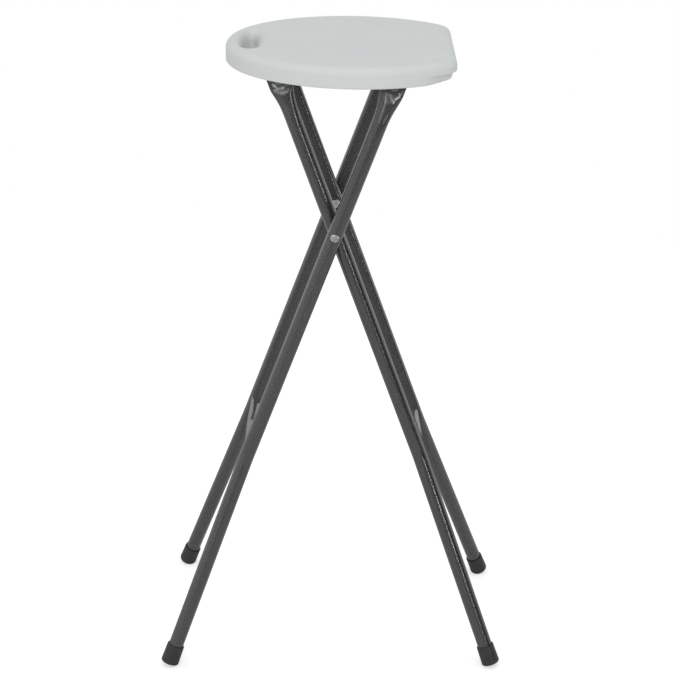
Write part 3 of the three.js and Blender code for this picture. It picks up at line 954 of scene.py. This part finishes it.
# Lays painted highlights, painted shade along the crease and painted glints over the powder coat.
def make_leg_coat(label, patch_highlight, wedges, folds, glints):
    finish = make_powder_coat("hammered_powder_coat_" + label)
    here = add_node(finish, "ShaderNodeUVMap", uv_map="press_map").outputs["UV"]
    for corners in wedges:
        paint_over(finish, within(finish, here, on_map(*corners), painted_light_blur), patch_highlight, 1.0)
    for corners in folds:
        paint_over(finish, within(finish, here, on_map(*corners), painted_light_blur), painted_crease_shade, 0.9)
    for start, end, width, strength in glints:
        mark = within(finish, here, streak(start, end, width), glint_blur)
        paint_over(finish, mark, painted_glint_colour, strength)
    return finish


# Corners of the painted highlight patches and of the painted crease shade, then the painted glints on the
# tab facets.
outer_coat = make_leg_coat(
    "outer", painted_highlight_outer,
    [((-136, 4), (-93, -33), (-60, -53), (-80, -17), (-106, -1)),
     ((-93, -33), (-36, -70), (-36, -34), (-62, -28)),
     ((-70, -3), (-50, -24), (-36, -30), (-46, -4))],
    [((-98, -4), (-54, -22), (-72, -3)), ((-108, 2), (-98, -4), (-62, -3), (-62, 3)),
     ((-106, 12), (-92, 2), (-80, 2), (-94, 12))],
    [((44, 15.6), (64, 10.0), 2.0, 0.95), ((55, 18.8), (44, 16.0), 1.5, 0.8),
     ((43, 16.5), (34, 22.5), 1.5, 0.3), ((67, 9.0), (63, 5.0), 1.8, 0.6),
     ((97, 13.7), (72, 6.5), 2.6, 0.25), ((117, 14), (106, 2), 1.8, 0.33),
     ((106, 2), (104.5, -9), 1.7, 0.25), ((104.5, -9), (102, -22), 1.7, 0.13)])
inner_coat = make_leg_coat(
    "inner", painted_highlight_inner,
    [((-124, -4), (-80, -42), (-76, -30), (-84, -10), (-96, -4), (-116, -1))],
    [((-148, 1), (-148, -1.4), (-70, 3.6), (-70, 5.6))],
    [((51, 16.5), (66, 10.8), 1.8, 0.7), ((57, 14.2), (61, 12.6), 2.0, 0.9),
     ((66, 10.8), (70, 7.6), 1.6, 0.35), ((69, 7.4), (83, 9.4), 1.4, 0.3),
     ((88, 6.6), (100, 9.2), 1.7, 0.6), ((96, 16), (94, 12), 1.8, 0.22)])


def finish_pair(far, plan, piece_name, node_name, slot, finish, smooth=35):
    near = copy_piece(far, piece_name.format("near"), mirrored=True)
    far.name = piece_name.format("far")
    for piece, word in ((far, "far"), (near, "near")):
        finish_piece(piece, plan["body"], slot, finish, node_name.format(word), smooth=smooth)


for leg, plan, coat in ((outer_leg, outer_plan, outer_coat), (inner_leg, inner_plan, inner_coat)):
    soften(leg, small_edge, 28)
    name = plan["label"] + "_leg_{}"
    finish_pair(leg, plan, name + "_piece", name, "coated_tube", coat, 40)

# %% [markdown]
# ## Foot caps
# A moulded rubber cap is pushed over each tube's end. It starts as a cylinder, its lower
# edge is rounded, it tapers a little upwards, and its top is hollowed for the tube.
# It follows the bend and the lean of its leg, and a level cut gives it its flat to stand on.

# %% Foot caps
cap_sleeve = 22 * mm
cap_hollow = 21 * mm
cap_taper = 0.955


def make_cap(plan):
    height = cap_base + cap_sleeve
    low, high = plan["cap_under"], plan["cap_under"] + height
    cap = add_shape(
        plan["label"] + "_cap", bpy.ops.mesh.primitive_cylinder_add, vertices=48, radius=cap_radius,
        depth=height, location=(0, plan["plane"], low + height / 2))
    open_mesh(cap)
    pick(cap, "EDGE", edge_at(z_axis, low))
    round_edges(cap_round, 6)
    pick(cap, "VERT", corner_at(z_axis, high))
    stretch_by(cap_taper, cap_taper, (0, plan["plane"], 0))
    pick(cap, "FACE", end_face(z_axis, 1))
    bpy.ops.mesh.inset(thickness=cap_taper * cap_radius - tube_radius - fit_gap, depth=0)
    extrude_by(z=-cap_hollow)
    pick(cap, "EDGE", edge_at(z_axis, high))
    round_edges(0.6 * mm, 3)
    pick_all()
    turn_selection(plan["splay"], "X", bend_centre(plan))
    close_mesh()
    lean_piece(cap, plan)
    open_mesh(cap)
    pick_all()
    bpy.ops.mesh.bisect(
        plane_co=(0, 0, 0), plane_no=(0, 0, 1), use_fill=True, clear_inner=True, threshold=0.001 * mm)
    close_mesh()
    return cap


for plan in plans:
    label = plan["label"]
    finish_pair(make_cap(plan), plan, label + "_cap_{}", label + "_foot_cap_{}", "cap_rubber", cap_rubber)

# %% [markdown]
# ## Top bars
# Each frame is closed at the top by a bar between its two tabs. It is a length of tube: a
# cylinder whose ends are inset by the tube's wall and pushed in. The threaded plugs in its
# ends are kept from the solids and get the zinc finish.

# %% Top bars
bar_radius = 8 * mm
bar_wall = 1.5 * mm
plug_length = 18 * mm


def make_bar(plan):
    end = plan["plane"] - tab_half - fit_gap
    bar = add_rod(plan["label"] + "_bar", bar_radius, -end, end, 0, plan["bar"])
    open_mesh(bar)
    for side in (-1, 1):
        pick(bar, "FACE", end_face(y_axis, side))
        bpy.ops.mesh.inset(thickness=bar_wall, depth=0)
        extrude_by(y=-side * plug_length)
        pick(bar, "EDGE", edge_at(y_axis, side * end))
        round_edges(0.3 * mm, 2)
    close_mesh()
    lean_piece(bar, plan)
    return bar


for plan in plans:
    finish_piece(make_bar(plan), plan["body"], "coated_tube", powder_coat, plan["label"] + "_crossbar")
    for word, side in sides:
        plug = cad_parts[plan["label"] + "_bar_plug_" + word]
        plug.data.materials.clear()
        plug.data.materials.append(zinc_plate)
        print(plug.name, "keeps its solid")

# %% [markdown]
# ## Bolts and screws
# The pivot bolts and the screws have the same kind of low domed head, in two sizes. A
# cylinder's edge is rounded until it is a dome, and its underside is drawn out into the
# shank. A cross for the driver is cut into the head with two thin boxes. It is widest on the
# pivot bolts, where it is seen.

# %% Domed screws
def make_screw(name, head, height, shank, length, cross, reach=0.27, width=0.055):
    screw = add_shape(
        name, bpy.ops.mesh.primitive_cylinder_add, vertices=40, radius=head / 2, depth=height,
        location=(0, height / 2, 0), rotation=(-math.pi / 2, 0, 0))
    open_mesh(screw)
    pick(screw, "EDGE", edge_at(y_axis, height))
    round_edges(height - 0.5 * mm, 8)
    pick(screw, "FACE", end_face(y_axis, -1))
    bpy.ops.mesh.inset(thickness=(head - shank) / 2, depth=0)
    extrude_by(y=-length)
    pick(screw, "EDGE", edge_at(y_axis, -length))
    round_edges(0.5 * mm, 2)
    close_mesh()
    arm, thin = head * reach, head * width
    for long, wide in ((arm, thin), (thin, arm)):
        slot = add_box("slot", (-long, height - cross, -wide), (long, height + overrun, wide))
        cut_with(screw, slot)
    return screw


big_head = {"head": 10.8 * mm, "height": 3.2 * mm, "shank": 6 * mm}
nut_thickness = 5 * mm
bolt_face = outer_plane + tube_radius + fit_gap
nut_face = inner_plane - pressed_reach - fit_gap
bolt_length = bolt_face - nut_face + nut_thickness + 1.5 * mm
pivot_bolt = make_screw("pivot_bolt", **big_head, length=bolt_length, cross=1.7 * mm, reach=0.38, width=0.08)
bar_screw = make_screw("bar_screw", **big_head, length=16.6 * mm, cross=1.4 * mm)
small_screw = make_screw(
    "small_screw", head=8 * mm, height=2.4 * mm, shank=4 * mm, length=12 * mm, cross=1.1 * mm)
print("screws modelled:", pivot_bolt.name, bar_screw.name, small_screw.name)

# %% [markdown]
# The nut is a six-sided cylinder. A chamfer takes its corners off on both faces, as on a
# real nut, and a low collar on its inner face is the ring that locks it.

# %% Nut and washer
nut_across = 10 * mm
nut_body = 3.8 * mm
nut_corner = 0.9 * mm
nut_chamfer = 0.5 * mm
collar_inset = 0.7 * mm
collar_height = 1.1 * mm
washer_radius = 7.5 * mm
bore_radius = 3.3 * mm
bore_length = 10 * mm


def bore(piece):
    cut_with(piece, add_rod("bore_waste", bore_radius, -bore_length, overrun, 0, 0, 32))


def make_nut():
    nut = add_shape(
        "nut", bpy.ops.mesh.primitive_cylinder_add, vertices=6, radius=nut_across / math.sqrt(3),
        depth=nut_body, location=(0, -nut_body / 2, 0), rotation=(-math.pi / 2, 0, 0))
    open_mesh(nut)
    pick(nut, "EDGE", lambda edge: reach_of(edge, y_axis) > near_enough)
    round_edges(nut_corner, 4)
    pick(nut, "EDGE", lambda edge: reach_of(edge, y_axis) < near_enough)
    round_edges(nut_chamfer, 2)
    pick(nut, "FACE", end_face(y_axis, -1))
    bpy.ops.mesh.inset(thickness=collar_inset, depth=0)
    extrude_by(y=-collar_height)
    round_edges(small_edge, 3)
    close_mesh()
    bore(nut)
    return nut


def make_washer():
    washer = add_rod("washer", washer_radius, -washer_thickness, 0, 0, 0, 40)
    bore(washer)
    soften(washer, small_edge)
    return washer


nut = make_nut()
washer = make_washer()
print("nut and washer modelled with", len(nut.data.polygons), "and", len(washer.data.polygons), "faces")

# %% [markdown]
# Now each is copied to its places. The far ones are turned round for the near side, and all
# of them are set at the height of the pivots or of the bars.

# %% Set the bolts, nuts, washers and screws
def set_copy(pattern, name, side, across, along, plan, slot, finish, node):
    twin = copy_piece(pattern, name)
    if side < 0:
        turn_piece(twin, math.pi, "Z")
    move_piece(twin, (0, side * across, along))
    lean_piece(twin, plan)
    finish_piece(twin, plan["body"], slot, finish, node)


pivot_set = (
    ("bolt_", pivot_bolt, bolt_face, "zinc_hardware", bolt_zinc),
    ("nut_", nut, nut_face, "zinc_hardware", zinc_plate),
    ("washer_", washer, outer_plane - pressed_reach - fit_gap, "washer_nylon", washer_nylon),
)
for word, side in sides:
    for kind, pattern, across, slot, finish in pivot_set:
        set_copy(pattern, kind + word, side, across, 0, outer_plan, slot, finish, "pivot_" + kind + word)
    for plan in plans:
        # The bar screws get the darkened zinc: painted shade for the seat's shadow over them.
        set_copy(bar_screw, plan["label"] + "_screw_" + word, side, plan["plane"] + tab_half + fit_gap,
                 plan["bar"], plan, "zinc_hardware", painted_shade_zinc, plan["label"] + "_bar_screw_" + word)

# %% [markdown]
# ## Hinge saddles and clips
# A saddle is a steel strap that holds the outer bar up against the pads. Its middle line is
# drawn from the side, a flange, a half turn under the bar and the other flange. It is drawn
# out to its width and given its thickness. The clip is made the same way, but it is open at
# one side, so that the bar snaps out when the seat is lifted.

# %% Saddles
strap = 2 * mm
flange_reach = 20 * mm
holder_width = 14 * mm


def spin_line(angle, steps):
    bpy.ops.mesh.spin(steps=steps, angle=-angle, center=(0, 0, 0), axis=(0, -1, 0))


def widen_line(piece, thickness):
    pick_all()
    bpy.ops.mesh.remove_doubles(threshold=0.02 * mm)
    pick_all()
    move_by(y=-holder_width / 2)
    extrude_by(y=holder_width)
    face_outwards()
    close_mesh()
    apply_modifier(piece, "SOLIDIFY", thickness=thickness, offset=0, use_even_offset=True)
    soften(piece, small_edge)


def make_saddle():
    level = fit_gap + strap / 2
    middle = groove_radius + strap / 2
    edge = math.sqrt(middle ** 2 - level ** 2)
    saddle = start_point("saddle", (-flange_reach, 0, -level))
    extrude_by(x=flange_reach - edge)
    spin_line(math.pi - 2 * math.asin(level / middle), 20)
    extrude_by(x=flange_reach - edge)
    widen_line(saddle, strap)
    return saddle


saddle = make_saddle()
lowest = min(v.co.z for v in saddle.data.vertices)
print("the saddle reaches", round(-lowest / mm, 1), "mm below the bar's middle")

# %% [markdown]
# The clip is a springy half ring under a flat plate. The half ring is spun from its mouth
# over the bar, and the plate is a box with soft edges that is joined to it.

# %% Clips
clip_thickness = 2.5 * mm
clip_mouth = math.radians(28)
plate_half = 18 * mm
plate_low, plate_high = 10.2 * mm, 12.7 * mm


def make_clip():
    middle = groove_radius + clip_thickness / 2
    clip = start_point("clip", (middle * math.cos(clip_mouth), 0, middle * math.sin(clip_mouth)))
    spin_line(math.pi, 28)
    widen_line(clip, clip_thickness)
    plate = add_box("plate", (-plate_half, -holder_width / 2, plate_low),
                    (plate_half, holder_width / 2, plate_high), 0.5 * mm)
    cut_with(clip, plate, "UNION")
    return clip


clip = make_clip()
print("clip has", len(clip.data.polygons), "faces")

# %% [markdown]
# Both kinds of holder are copied to the near and the far side, and each gets two of the
# small screws, their heads facing down.

# %% Set the holders and their screws
saddle_screw_reach = 14.5 * mm
saddle_screw_level = bar_height - 2.6 * mm
clip_screw_reach = 14 * mm
clip_screw_level = seat_bottom - 3.1 * mm
saddle_screws = ("saddle_screw_", outer_bar_x, saddle_spread, saddle_screw_reach, saddle_screw_level)
clip_screws = ("clip_screw_", inner_bar_x, clip_spread, clip_screw_reach, clip_screw_level)


def set_holder(pattern, name, x, y, slot, finish, node):
    held = copy_piece(pattern, name)
    move_piece(held, (x, y, bar_height))
    finish_piece(held, "seat", slot, finish, node)


for word, side in sides:
    set_holder(saddle, "saddle_" + word, outer_bar_x, side * saddle_spread, "zinc_hardware",
               zinc_plate, "hinge_saddle_" + word)
    set_holder(clip, "clip_" + word, inner_bar_x, side * clip_spread, "clip_plastic",
               clip_plastic, "bar_clip_" + word)
    for end_word, end in (("left", -1), ("right", 1)):
        for kind, bar_x, spread, screw_reach, level in (saddle_screws, clip_screws):
            ending = word + "_" + end_word
            screw = copy_piece(small_screw, kind + "piece_" + ending)
            turn_piece(screw, -math.pi / 2, "X")
            move_piece(screw, (bar_x + end * screw_reach, side * spread, level))
            finish_piece(screw, "seat", "zinc_hardware", zinc_plate, kind + ending)

for pattern in (pivot_bolt, bar_screw, small_screw, nut, washer, saddle, clip):
    bpy.data.objects.remove(pattern)

# %% [markdown]
# ## Floor and backdrop
# The stool stands on a plain white floor in front of a white backdrop. The floor keeps the
# soft shadow. Its white comes from a glow that only the camera sees, so that no extra
# light falls on the stool.

# %% Floor
floor_glow = 0.45
floor_finish = new_finish("floor_paper", (0.8, 0.8, 0.8), 0.9)
surface(floor_finish).inputs["Emission Color"].default_value = (1, 1, 1, 1)
ray = add_node(floor_finish, "ShaderNodeLightPath")
feed(floor_finish, times(floor_finish, ray.outputs["Is Camera Ray"], floor_glow), "Emission Strength")
shade = between(floor_finish, grain(floor_finish, 3, 2.0), (0.79, 0.79, 0.79), (0.81, 0.81, 0.81))
feed(floor_finish, shade, "Base Color")
floor = add_shape("floor", bpy.ops.mesh.primitive_circle_add, vertices=96, radius=1.7, fill_type="NGON")
floor.data.materials.append(floor_finish)
print("floor laid, with a glow of", floor_glow, "for the camera")

# %% [markdown]
# The world stands for the rest of the studio. The camera and clear things see it white. Matt
# things get an even light from it. Shiny things see a white backdrop behind the stool, and in
# front of it a room that is bright at the left and almost black at the right. That draws the
# dark and light bands along the tubes.

# %% World
soft_sky = 0.72
room_bands = ((-0.45, 0.9), (-0.25, 0.5), (0.15, 0.42), (0.45, 0.3), (0.62, 0.015))


def choose(world, factor, low, high):
    mix = add_node(world, "ShaderNodeMix")
    join(world, factor, mix.inputs["Factor"])
    for socket, value in ((mix.inputs["A"], low), (mix.inputs["B"], high)):
        if isinstance(value, float):
            socket.default_value = value
        else:
            join(world, value, socket)
    return mix.outputs["Result"]


def make_world():
    world = bpy.data.worlds.new("studio")
    bpy.context.scene.world = world
    world.use_nodes = True
    ray = add_node(world, "ShaderNodeLightPath")
    direction = add_node(world, "ShaderNodeTexCoord")
    parts = add_node(world, "ShaderNodeSeparateXYZ")
    join(world, direction.outputs["Generated"], parts.inputs["Vector"])
    bands = add_node(world, "ShaderNodeValToRGB")
    join(world, grade(world, parts.outputs["X"], 0.0, 1.0, -1.0, 1.0), bands.inputs["Fac"])
    for place, strength in room_bands[1:-1]:
        bands.color_ramp.elements.new((place + 1) / 2)
    for element, (place, strength) in zip(bands.color_ramp.elements, room_bands):
        element.position = (place + 1) / 2
        element.color = (strength, strength, strength, 1)
    behind = grade(world, parts.outputs["Y"], 0.0, 1.0, -0.05, 0.15)
    seen = choose(world, behind, bands.outputs["Color"], 1.0)
    strength = choose(world, ray.outputs["Is Glossy Ray"], soft_sky, seen)
    for kind in ("Is Transmission Ray", "Is Camera Ray"):
        strength = choose(world, ray.outputs[kind], strength, 1.0)
    background = world.node_tree.nodes["Background"]
    background.inputs["Color"].default_value = (1, 1, 1, 1)
    join(world, strength, background.inputs["Strength"])


make_world()
print("world: matt things get", soft_sky, "and the camera sees white")

# %% [markdown]
# ## Lights
# Large soft boxes light the stool from in front and from above, as in a plain studio. A tall
# narrow one at the right draws the thin bright line down the tubes, and a short one before
# its lower end strengthens the line near the feet. These two act on shine only, not on matt
# surfaces. They are kept low enough that the seat doesn't glare when it is seen from behind.

# %% Soft boxes
def add_softbox(name, place, aim, width, height, glow, matt=True):
    lamp = bpy.data.lights.new(name, "AREA")
    lamp.shape = "RECTANGLE"
    lamp.size = width
    lamp.size_y = height
    lamp.energy = glow * math.pi * width * height
    box = bpy.data.objects.new(name, lamp)
    bpy.context.scene.collection.objects.link(box)
    box.location = place
    box.rotation_euler = (Vector(aim) - Vector(place)).to_track_quat("-Z", "Y").to_euler()
    box.visible_diffuse = matt
    print(name, "gives", round(lamp.energy, 1), "watts")


add_softbox("front_box", (-0.25, -2.6, 1.9), (0, 0, 0.5), width=1.8, height=0.8, glow=3.7)
add_softbox(
    "strip_box", (1.34, -1.49, 0.94), (0, 0, 0.6), width=0.12, height=1.34, glow=11.0, matt=False)
add_softbox(
    "low_strip_box", (1.33, -1.48, 0.43), (0, 0, 0.43), width=0.12, height=0.26, glow=7.0, matt=False)
add_softbox("top_box", (0.0, -0.2, 2.6), (0, 0, 0.6), width=1.8, height=1.8, glow=0.4)

# %% [markdown]
# ## Camera
# The camera stands two metres in front of the stool and almost half a metre above the seat,
# and looks down by about 23 degrees. The seat is seen as a thin oval and the legs as a wide
# cross.

# %% Camera
camera_place = (0.0071, -2.0449, 1.2697)
pitch, yaw, roll = math.radians(22.833), math.radians(0.077), math.radians(1.05)

camera_data = bpy.data.cameras.new("camera")
camera_data.lens = 91.06
camera_data.sensor_width = 36
camera_data.clip_start = 0.05
camera_data.clip_end = 50
camera = bpy.data.objects.new("camera", camera_data)
bpy.context.scene.collection.objects.link(camera)
camera.matrix_world = (
    Matrix.Translation(camera_place) @ Matrix.Rotation(yaw, 4, "Z")
    @ Matrix.Rotation(math.pi / 2 - pitch, 4, "X") @ Matrix.Rotation(roll, 4, "Z"))
bpy.context.scene.camera = camera
bpy.context.scene.view_settings.view_transform = "Standard"
print("camera stands at", [round(value, 3) for value in camera.matrix_world.translation])

# %% [markdown]
# ## Size
# The dressed stool keeps the size of its solids. The scene is brought up to date at the end.

# %% Finish
bpy.context.view_layer.update()
